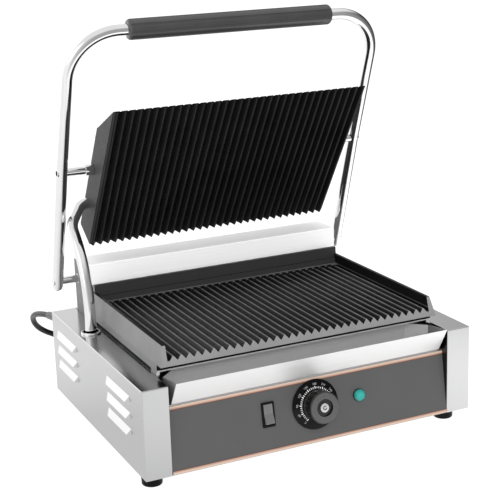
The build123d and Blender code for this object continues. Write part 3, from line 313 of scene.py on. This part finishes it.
def tray_steel(name):
    """Satin tray: outside near white, a painted sheen; faces not turned to the front, the inside among them, painted
    dark grey as shade.
    """
    m, nt, b = new_mat(name)
    fine = noise(nt, coords(nt, (14, 900, 900)), 1.0, 2.0, 0.6)
    tc = add(nt, "ShaderNodeTexCoord")
    sn = add(nt, "ShaderNodeSeparateXYZ")
    nt.links.new(tc.outputs["Normal"], sn.inputs[0])
    # faces not turned to the front are painted dark grey: painted shade
    inside_shade = span(nt, sn.outputs[1], -0.55, -0.3, 0.0, 1.0)
    bright = ramp(nt, fine, [(0.3, (0.83, 0.83, 0.83)), (0.7, (0.87, 0.87, 0.87))])
    nt.links.new(mix_col(nt, inside_shade, bright, (0.33, 0.33, 0.33)), b.inputs["Base Color"])
    nt.links.new(span(nt, fine, 0.3, 0.7, 0.42, 0.5), b.inputs["Roughness"])
    b.inputs["Metallic"].default_value = 0.6
    return m


steel_tray = tray_steel("steel_tray")


def box_steel(name):
    """Satin sheet of the hinge box: front and top painted near white as a painted sheen, ends and back painted darker
    as shade.
    """
    m, nt, b = new_mat(name)
    fine = noise(nt, coords(nt, (10, 700, 700)), 1.0, 2.0, 0.6)
    tc = add(nt, "ShaderNodeTexCoord")
    sn = add(nt, "ShaderNodeSeparateXYZ")
    nt.links.new(tc.outputs["Normal"], sn.inputs[0])
    # end faces painted dark grey and back faces mid grey: painted shade; front and top near white with little metal:
    # painted sheen
    end = span(nt, math_node(nt, "ABSOLUTE", sn.outputs[0]), 0.7, 0.9, 0.0, 1.0)
    bright = ramp(nt, fine, [(0.3, (0.93, 0.93, 0.93)), (0.7, (0.97, 0.97, 0.97))])
    back = span(nt, sn.outputs[1], 0.4, 0.7, 0.0, 1.0)
    bright = mix_col(nt, back, bright, (0.56, 0.56, 0.56))
    nt.links.new(mix_col(nt, end, bright, (0.2, 0.2, 0.2)), b.inputs["Base Color"])
    nt.links.new(span(nt, fine, 0.3, 0.7, 0.5, 0.58), b.inputs["Roughness"])
    b.inputs["Metallic"].default_value = 0.05
    return m


steel_box = box_steel("steel_hinge_box")
steel_z = brushed("steel_dull", (0.62, 0.63, 0.64), 0.38, (60, 60, 60))
zinc = brushed("zinc_bright", (0.72, 0.72, 0.70), 0.28, (400, 400, 400))
oxid = brushed("element_oxide", (0.32, 0.31, 0.30), 0.5, (300, 300, 300))
bronze = brushed("bronze", (0.62, 0.43, 0.22), 0.35, (300, 300, 300))
copper = brushed("copper_tube", (0.72, 0.42, 0.28), 0.3, (300, 300, 300))
chrome_m = chrome("chrome_tube", (0.84, 0.84, 0.84), 0.07)
black_gloss = plastic("black_gloss", (0.003, 0.003, 0.003), 0.16, 600, 0.02, 0.03, spec=0.14)
rocker_m = plastic("rocker_gloss", (0.1, 0.1, 0.1), 0.16, 600, 0.02, 0.04, spec=0.9)
black_satin = plastic("black_satin", (0.02, 0.02, 0.02), 0.42, 900, 0.08)
rubber = plastic("foot_rubber", (0.003, 0.003, 0.003), 0.4, 700, 0.1, spec=0.12)
cord_m = plastic("cord_rubber", (0.004, 0.004, 0.004), 0.28, 500, 0.05, spec=0.22)
grip_m = plastic("grip_plastic", (0.032, 0.032, 0.032), 0.32, 800, 0.06, vary=0.1, spec=0.75)
film_m = plastic("panel_film", (0.072, 0.072, 0.072), 0.5, 1500, 0.03, vary=0.03, spec=0.35)
ceramic = plastic("ceramic_white", (0.75, 0.74, 0.70), 0.3, 400, 0.03)
paint_m = plastic("cover_paint", (0.022, 0.022, 0.022), 0.45, 1200, 0.2)
fibre = plastic("mineral_fibre", (0.62, 0.58, 0.5), 0.9, 250, 0.6)


def iron(name, axis, zero, front, rim_x, pale_v, crest_glint_v, crest, spec, skirt=None):
    """Seasoned cast iron. axis and zero give the depth below the rib tips, front the front face's direction."""
    m, nt, b = new_mat(name)
    vec = coords(nt)
    grain = noise(nt, vec, 1400, 4.0, 0.6)
    pits = noise(nt, vec, 260, 3.0, 0.6)
    broad = noise(nt, vec, 26, 3.0, 0.6)
    tc = add(nt, "ShaderNodeTexCoord")
    dep = add(nt, "ShaderNodeVectorMath", operation="DOT_PRODUCT")
    nt.links.new(tc.outputs["Object"], dep.inputs[0])
    dep.inputs[1].default_value = axis
    depth = math_node(nt, "SUBTRACT", math_node(nt, "MULTIPLY", dep.outputs["Value"], 1000.0), zero)
    pos = add(nt, "ShaderNodeSeparateXYZ")
    nt.links.new(tc.outputs["Object"], pos.inputs[0])
    nor = add(nt, "ShaderNodeSeparateXYZ")
    nt.links.new(tc.outputs["Normal"], nor.inputs[0])
    # outward side faces near the rim, and the front face, painted pale: painted light on the faces that catch it
    sidew = math_node(nt, "MULTIPLY", nor.outputs[0], pos.outputs[0])
    sidef = math_node(nt, "MULTIPLY", span(nt, sidew, 0.11, 0.14, 0.0, 1.0),
                      span(nt, math_node(nt, "ABSOLUTE", pos.outputs[0]), rim_x - 0.0006, rim_x, 0.0, 1.0))
    fd = add(nt, "ShaderNodeVectorMath", operation="DOT_PRODUCT")
    nt.links.new(tc.outputs["Normal"], fd.inputs[0])
    fd.inputs[1].default_value = front[0]
    fpos = add(nt, "ShaderNodeVectorMath", operation="DOT_PRODUCT")
    nt.links.new(tc.outputs["Object"], fpos.inputs[0])
    fpos.inputs[1].default_value = front[0]
    frontf = math_node(nt, "MULTIPLY", span(nt, fd.outputs["Value"], 0.8, 0.9, 0.0, 1.0),
                       span(nt, fpos.outputs["Value"], front[1] - 0.0006, front[1], 0.0, 1.0))
    outer = math_node(nt, "MAXIMUM", sidef, frontf)
    dark = ramp(nt, broad, [(0.25, (0.003, 0.003, 0.003)), (0.75, (0.006, 0.006, 0.006))])
    pale = ramp(nt, broad, [(0.25, tuple([pale_v * 0.9] * 3)), (0.75, tuple([pale_v * 1.1] * 3))])
    # rib tips painted paler: a painted highlight along the crests
    crest_glint = ramp(nt, broad, [(0.25, tuple([crest_glint_v * 0.75] * 3)), (0.75, tuple([crest_glint_v * 1.25] * 3))])
    tip = math_node(nt, "MULTIPLY", span(nt, depth, CREST[0], crest, 1.0, 0.0), span(nt, depth, -0.6, -0.2, 0.0, 1.0))
    body = mix_col(nt, tip, dark, crest_glint)
    # the upright front-facing rear wall of a lower plate is painted paler than the grooves
    wall = math_node(nt, "MULTIPLY", span(nt, fd.outputs["Value"], 0.6, 0.85, 0.0, 1.0), span(nt, depth, -1.0, -0.6, 1.0, 0.0))
    body = mix_col(nt, wall, body, (0.03, 0.03, 0.03))
    col = mix_col(nt, outer, body, pale)
    # below the front lip: a black line painted as the lip's shadow, then the skirt face painted pale: painted light
    if skirt is not None:
        below = math_node(nt, "MULTIPLY", frontf, span(nt, depth, 10.8, 11.0, 0.0, 1.0))
        col = mix_col(nt, below, col, ramp(nt, span(nt, depth, 16.0, 20.0, 0.0, 1.0), [
            (0.56, (0.003, 0.003, 0.003)), (0.64, (skirt, skirt, skirt))]))
    nt.links.new(col, b.inputs["Base Color"])
    nt.links.new(span(nt, math_node(nt, "ADD", grain, pits), 0.7, 1.3, 0.38, 0.55), b.inputs["Roughness"])
    b.inputs["Specular IOR Level"].default_value = spec
    h = math_node(nt, "ADD", math_node(nt, "MULTIPLY", grain, 0.5), pits)
    bump(nt, b, h, 0.22, 0.0004)
    return m


CREST = (0.2,)
iron_low = iron("cast_iron_lower", (0, 0, -1), -149.0, ((0, -1, 0), (ORIGIN_D - 42.0) * MM), 0.1725, 0.22, 0.11, 1.1, 0.22, skirt=0.62)
LID_A = math.radians(56.55)
LID_N = (0.0, math.sin(LID_A), math.cos(LID_A))
iron_up = iron("cast_iron_upper", LID_N, (292.2 - ORIGIN_D) * LID_N[1] + 214.9 * LID_N[2],
               ((0, -math.cos(LID_A), math.sin(LID_A)), 9.0), 0.1655, 0.05, 0.02, 0.9, 0.09)

# copper pinstripes: a pale band between two darker lines, measured up the slope
stripe_m, nt, b = new_mat("copper_print")
tc = add(nt, "ShaderNodeTexCoord")
dot = add(nt, "ShaderNodeVectorMath", operation="DOT_PRODUCT")
nt.links.new(tc.outputs["Object"], dot.inputs[0])
dot.inputs[1].default_value = (0, PS, PC)
s_mm = math_node(nt, "SUBTRACT", math_node(nt, "MULTIPLY", dot.outputs["Value"], 1000.0),
                 (-ORIGIN_D * PS + PZ0 * PC))
edge = math_node(nt, "PINGPONG", math_node(nt, "SUBTRACT", s_mm, 0.4), 39.2)
band = span(nt, edge, 0.0, 4.7, 0.0, 1.0)
nt.links.new(ramp(nt, band, [(0.0, (0.36, 0.23, 0.17)), (0.10, (0.50, 0.39, 0.32)), (0.42, (0.49, 0.37, 0.30)),
                             (0.56, (0.40, 0.24, 0.18)), (0.78, (0.34, 0.19, 0.14)), (0.86, (0.10, 0.042, 0.026)),
                             (1.0, (0.085, 0.036, 0.024))]),
             b.inputs["Base Color"])
nt.links.new(span(nt, noise(nt, coords(nt), 500), 0.3, 0.7, 0.3, 0.42), b.inputs["Roughness"])

# pilot lamp lens: tinted, with a ring of moulded facets
lens_m, nt, b = new_mat("lens_teal")
tc = add(nt, "ShaderNodeTexCoord")
mp = add(nt, "ShaderNodeMapping")
mp.inputs["Location"].default_value = tuple(-v for v in panel(LAMP_X, LAMP_S, 0))
nt.links.new(tc.outputs["Object"], mp.inputs["Vector"])
ln = add(nt, "ShaderNodeVectorMath", operation="LENGTH")
nt.links.new(mp.outputs["Vector"], ln.inputs[0])
nt.links.new(ramp(nt, span(nt, ln.outputs["Value"], 0.004, 0.009, 0, 1), [(0.0, (0.012, 0.36, 0.32)), (1.0, (0.004, 0.16, 0.145))]),
             b.inputs["Base Color"])
wv = math_node(nt, "SINE", math_node(nt, "MULTIPLY", ln.outputs["Value"], 5200.0))
bump(nt, b, wv, 0.25, 0.0003)
b.inputs["Roughness"].default_value = 0.18
b.inputs["Coat Weight"].default_value = 0.25
b.inputs["Emission Color"].default_value = (0.03, 0.55, 0.47, 1)
b.inputs["Emission Strength"].default_value = 0.08

# knob: black sides, the front face painted paler
knob_m, nt, b = new_mat("knob_moulded")
tc = add(nt, "ShaderNodeTexCoord")
dotn = add(nt, "ShaderNodeVectorMath", operation="DOT_PRODUCT")
nt.links.new(tc.outputs["Normal"], dotn.inputs[0])
dotn.inputs[1].default_value = (0, -PC, PS)
front = span(nt, dotn.outputs["Value"], 0.75, 0.97, 0.0, 1.0)
knob_col = mix_col(nt, front, (0.004, 0.004, 0.004), (0.066, 0.066, 0.066))
g = noise(nt, coords(nt), 900)
nt.links.new(span(nt, g, 0.3, 0.7, 0.24, 0.3), b.inputs["Roughness"])
mp = add(nt, "ShaderNodeMapping")
mp.inputs["Location"].default_value = tuple(-v for v in panel(DIAL_X, DIAL_S, 26.5))
nt.links.new(tc.outputs["Object"], mp.inputs["Vector"])
ln = add(nt, "ShaderNodeVectorMath", operation="LENGTH")
nt.links.new(mp.outputs["Vector"], ln.inputs[0])
dn = add(nt, "ShaderNodeVectorMath", operation="DOT_PRODUCT")
nt.links.new(mp.outputs["Vector"], dn.inputs[0])
dn.inputs[1].default_value = (0, -PC, PS)
# the sunk ring round the cap is painted near black: painted shade in the recess
sunk = math_node(nt, "MULTIPLY", span(nt, dn.outputs["Value"], -0.0006, -0.0003, 1.0, 0.0),
                 span(nt, ln.outputs["Value"], 0.0106, 0.0112, 1.0, 0.0))
nt.links.new(mix_col(nt, sunk, knob_col, (0.004, 0.004, 0.004)), b.inputs["Base Color"])
bump(nt, b, g, 0.06, 0.0002)

# knob cap: satin metal, the sunk mark painted dark
cap_m, nt, b = new_mat("knob_cap_metal")
b.inputs["Metallic"].default_value = 1.0
tc = add(nt, "ShaderNodeTexCoord")
mp = add(nt, "ShaderNodeMapping")
mp.inputs["Location"].default_value = tuple(-v for v in panel(DIAL_X, DIAL_S, 26.5))
nt.links.new(tc.outputs["Object"], mp.inputs["Vector"])
ln = add(nt, "ShaderNodeVectorMath", operation="LENGTH")
nt.links.new(mp.outputs["Vector"], ln.inputs[0])
dn = add(nt, "ShaderNodeVectorMath", operation="DOT_PRODUCT")
nt.links.new(mp.outputs["Vector"], dn.inputs[0])
dn.inputs[1].default_value = (0, -PC, PS)
sunk = math_node(nt, "MULTIPLY", span(nt, dn.outputs["Value"], -0.0006, -0.0004, 1.0, 0.0),
                 span(nt, ln.outputs["Value"], 0.0029, 0.0031, 1.0, 0.0))
nt.links.new(mix_col(nt, sunk, (0.68, 0.68, 0.68), (0.012, 0.012, 0.012)), b.inputs["Base Color"])
nt.links.new(span(nt, noise(nt, coords(nt), 700), 0.3, 0.7, 0.2, 0.3), b.inputs["Roughness"])

grey_print = plastic("grey_print", (0.34, 0.34, 0.34), 0.5, 600, 0.02, vary=0.05)
white_print = plastic("white_print", (0.8, 0.8, 0.8), 0.5, 600, 0.02, vary=0.05)

node_mats = {
    "left_side_cover": steel_y, "right_side_cover": steel_y, "base_pan": steel_z, "rear_panel": steel_x,
    "rear_screws": zinc, "top_deck": steel_z, "insulation_board": fibre, "front_panel": steel_x,
    "control_film": film_m, "panel_stripes": stripe_m, "drip_tray": steel_tray, "switch_housing": black_gloss,
    "rocker": rocker_m, "thermostat_body": zinc, "thermostat_shaft": zinc, "dial_skirt": black_gloss,
    "knob": knob_m, "knob_cap": cap_m, "thermostat_bulb": copper, "lamp_body": black_gloss, "lamp_lens": lens_m,
    "lower_plate": iron_low, "lower_element": oxid, "lower_element_clamps": zinc, "lower_clamp_screws": zinc,
    "hinge_box": steel_box, "hinge_bushes": steel_z, "left_spring": oxid, "right_spring": oxid,
    "handle_tube": chrome_m, "handle_grip": grip_m, "hinge_shaft": chrome_m, "pivot_pins": chrome_m,
    "arm_end_plugs": chrome_m, "upper_plate": iron_up, "upper_cover": paint_m, "cover_screws": zinc,
    "upper_element": oxid, "upper_element_clamps": zinc, "upper_clamp_screws": zinc, "conduit_tube": chrome_m,
    "conduit_nut": zinc, "conduit_ring": chrome_m, "terminal_block": ceramic, "feet": rubber, "foot_screws": zinc,
    "cord_gland": cord_m, "cord_tie": black_satin, "plug": black_satin,
    "cord_lead": cord_m, "cord_coil": cord_m, "cord_tail": cord_m,
}
for n, o in nodes.items():
    m = node_mats[n]
    if not o.material_slots:
        o.data.materials.append(m)
    for s in o.material_slots:
        s.link = "OBJECT"
        s.material = m
curve.materials.append(cord_m)

# ------------------------------------------------------------------
# dial scale: ticks and plain numbers on the skirt
# ------------------------------------------------------------------
SKIRT_R = 30.0


def skirt_n(r):
    return 2.6 + (SKIRT_R - r) / (SKIRT_R - 18.5) * 3.4


scale_bm = bmesh.new()


def dial_pt(r, deg, n):
    """deg is clockwise from the top, seen from the front."""
    a = math.radians(deg)
    return panel(DIAL_X + r * math.sin(a), DIAL_S + r * math.cos(a), n)


def tick(r0, r1, deg, half):
    da = math.degrees(half / ((r0 + r1) / 2))
    ring = []
    for n in (-0.05, 0.08):
        ring.append([scale_bm.verts.new(dial_pt(r, deg + s * da, skirt_n(r) + n)) for r, s in ((r0, -1), (r0, 1), (r1, 1), (r1, -1))])
    a, b2 = ring
    scale_bm.faces.new(b2)
    scale_bm.faces.new(list(reversed(a)))
    for i in range(4):
        j = (i + 1) % 4
        scale_bm.faces.new((a[i], a[j], b2[j], b2[i]))


marks = [(-140 + 28 * i, v) for i, v in enumerate(("0", "60", "90", "120", "150", "180", "210", "240", "270", "300"))]
for i in range(0, 9):
    for j in range(1, 4):
        tick(19.3, 21.4, -140 + 28 * i + 7 * j, 0.36)
for deg, _ in marks:
    tick(19.3, 22.0, deg, 0.5)
bmesh.ops.recalc_face_normals(scale_bm, faces=scale_bm.faces)
me = bpy.data.meshes.new("dial_ticks")
scale_bm.to_mesh(me)
scale_bm.free()
ticks = bpy.data.objects.new("dial_ticks", me)
coll.objects.link(ticks)
me.materials.append(white_print)
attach(ticks, "dial")

for deg, txt in marks:
    fc = bpy.data.curves.new("n" + txt, "FONT")
    fc.body = txt
    fc.size = 3.7 * MM
    fc.align_x, fc.align_y = "CENTER", "CENTER"
    fc.extrude = 0.06 * MM
    fo = bpy.data.objects.new("n" + txt, fc)
    coll.objects.link(fo)
    bpy.context.view_layer.update()
    tm = bpy.data.meshes.new_from_object(fo.evaluated_get(bpy.context.evaluated_depsgraph_get()))
    tm.name = "dial_number_" + txt
    bpy.data.objects.remove(fo)
    tw = Matrix.Rotation(math.radians(-deg), 4, "Z")
    lean = Matrix.Rotation(-math.atan2(3.4, SKIRT_R - 18.5), 4, "X")
    tm.transform(Matrix.Translation(dial_pt(24.6, deg, skirt_n(24.6) + 0.03)) @ PANEL_ROT.to_4x4() @ tw @ lean)
    to = bpy.data.objects.new("dial_number_" + txt, tm)
    coll.objects.link(to)
    tm.materials.clear()
    tm.materials.append(grey_print)
    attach(to, "dial")

# ------------------------------------------------------------------
# floor, light
# ------------------------------------------------------------------
fm, nt, b = new_mat("floor_white")
b.inputs["Base Color"].default_value = (0.22, 0.22, 0.22, 1)
b.inputs["Roughness"].default_value = 0.85
b.inputs["Specular IOR Level"].default_value = 0.1
b.inputs["Emission Color"].default_value = (1, 1, 1, 1)
b.inputs["Emission Strength"].default_value = 0.9
bpy.ops.mesh.primitive_plane_add(size=60, location=(0, 0, 0))
floor = bpy.context.active_object
floor.name = "floor"
floor.data.materials.append(fm)
floor.visible_glossy = False

# light that shiny faces see from below: bright close by and to the left, falling off to the front right
SURROUND = [(0.0, 1.0), (0.083, 1.12), (0.15, 0.66), (0.2125, 0.44), (0.278, 0.42), (0.347, 0.38), (0.428, 0.2),
            (0.52, 0.06), (0.61, 0.05), (0.655, 0.6), (0.69, 1.0), (0.78, 1.12), (0.88, 1.05)]
HORIZON = SURROUND[:-2] + [(0.775, 1.15), (0.81, 1.95), (0.86, 1.95), (0.895, 1.1)]


def surround(nt, x, y, table):
    turn = span(nt, math_node(nt, "ARCTAN2", y, x), -math.pi, math.pi, 0.0, 1.0)
    return ramp(nt, turn, [(q, (v, v, v)) for q, v in table])


gm = bpy.data.materials.new("floor_light")
gm.use_nodes = True
nt = gm.node_tree
nt.nodes.clear()
gout = add(nt, "ShaderNodeOutputMaterial")
gem = add(nt, "ShaderNodeEmission")
nt.links.new(gem.outputs[0], gout.inputs[0])
tc = add(nt, "ShaderNodeTexCoord")
gxy = add(nt, "ShaderNodeSeparateXYZ")
nt.links.new(tc.outputs["Object"], gxy.inputs[0])
far_y = math_node(nt, "SUBTRACT", gxy.outputs[1], 0.06)
far = surround(nt, gxy.outputs[0], far_y, SURROUND)
rim = surround(nt, gxy.outputs[0], far_y, HORIZON)
mp = add(nt, "ShaderNodeMapping")
mp.inputs["Location"].default_value = (0.25, 0.0, 0.0)
nt.links.new(tc.outputs["Object"], mp.inputs["Vector"])
ln = add(nt, "ShaderNodeVectorMath", operation="LENGTH")
nt.links.new(mp.outputs["Vector"], ln.inputs[0])
near = ramp(nt, span(nt, ln.outputs["Value"], 0.1, 0.65, 0.0, 1.0), [(0.0, (0.84, 0.84, 0.84)), (1.0, (1.52, 1.52, 1.52))])
mr = add(nt, "ShaderNodeMapping")
mr.inputs["Location"].default_value = (-0.15, 0.1, 0.0)
nt.links.new(tc.outputs["Object"], mr.inputs["Vector"])
lr = add(nt, "ShaderNodeVectorMath", operation="LENGTH")
nt.links.new(mr.outputs["Vector"], lr.inputs[0])
far = mix_col(nt, span(nt, lr.outputs["Value"], 1.8, 2.6, 0.0, 1.0), far, rim)
nt.links.new(mix_col(nt, span(nt, lr.outputs["Value"], 0.44, 0.76, 0.0, 1.0), near, far), gem.inputs["Color"])
bpy.ops.mesh.primitive_plane_add(size=60, location=(0, 0, -0.0005))
glow = bpy.context.active_object
glow.name = "floor_light"
glow.data.materials.append(gm)
glow.visible_camera = glow.visible_diffuse = glow.visible_shadow = False

# white backdrop past the floor's edge, for low viewpoints
bm = bpy.data.materials.new("backdrop_white")
bm.use_nodes = True
nt = bm.node_tree
nt.nodes.clear()
bout = add(nt, "ShaderNodeOutputMaterial")
bem = add(nt, "ShaderNodeEmission")
bem.inputs["Strength"].default_value = 1.05
nt.links.new(bem.outputs[0], bout.inputs[0])
bpy.ops.mesh.primitive_uv_sphere_add(segments=48, ring_count=24, radius=29, location=(0, 0, 0))
drop = bpy.context.active_object
drop.name = "backdrop"
drop.data.materials.append(bm)
drop.visible_glossy = drop.visible_diffuse = drop.visible_shadow = drop.visible_transmission = False

world = bpy.data.worlds.new("studio")
scene.world = world
world.use_nodes = True
wn = world.node_tree
wn.nodes.clear()
wout = wn.nodes.new("ShaderNodeOutputWorld")
bg = wn.nodes.new("ShaderNodeBackground")
wn.links.new(bg.outputs[0], wout.inputs[0])
wtc = wn.nodes.new("ShaderNodeTexCoord")
wsx = wn.nodes.new("ShaderNodeSeparateXYZ")
wn.links.new(wtc.outputs["Generated"], wsx.inputs[0])
# brightness of the surroundings round the compass, then blended to an even ceiling
wr = surround(wn, wsx.outputs[0], wsx.outputs[1], HORIZON)
high = wn.nodes.new("ShaderNodeMapRange")
high.interpolation_type = "SMOOTHSTEP"
high.inputs["From Min"].default_value = 0.35
high.inputs["From Max"].default_value = 0.75
wn.links.new(wsx.outputs[2], high.inputs["Value"])
wc = wn.nodes.new("ShaderNodeMix")
wc.data_type = "RGBA"
wn.links.new(high.outputs["Result"], wc.inputs[0])
wn.links.new(wr, wc.inputs[6])
wc.inputs[7].default_value = (0.9, 0.9, 0.9, 1)
wn.links.new(wc.outputs[2], bg.inputs["Color"])
bg.inputs["Strength"].default_value = 1.0


def area(name, loc, target, size, power, size_y=None):
    d = bpy.data.lights.new(name, "AREA")
    d.shape = "RECTANGLE"
    d.size, d.size_y = size, size_y or size
    d.energy = power
    o = bpy.data.objects.new(name, d)
    coll.objects.link(o)
    o.location = loc
    o.rotation_euler = (Vector(target) - Vector(loc)).to_track_quat("-Z", "Y").to_euler()
    o.visible_glossy = False
    return o


area("key", (-0.3, -2.4, 1.5), (0, 0.1, 0.2), 1.6, 52)
area("top", (-0.2, 0.3, 2.3), (0, 0, 0.1), 2.2, 12)
left = area("left", (-2.0, -0.5, 1.1), (0, 0, 0.2), 1.4, 3)
left.visible_glossy = True

scene.view_settings.view_transform = "Standard"
scene.view_settings.look = "None"
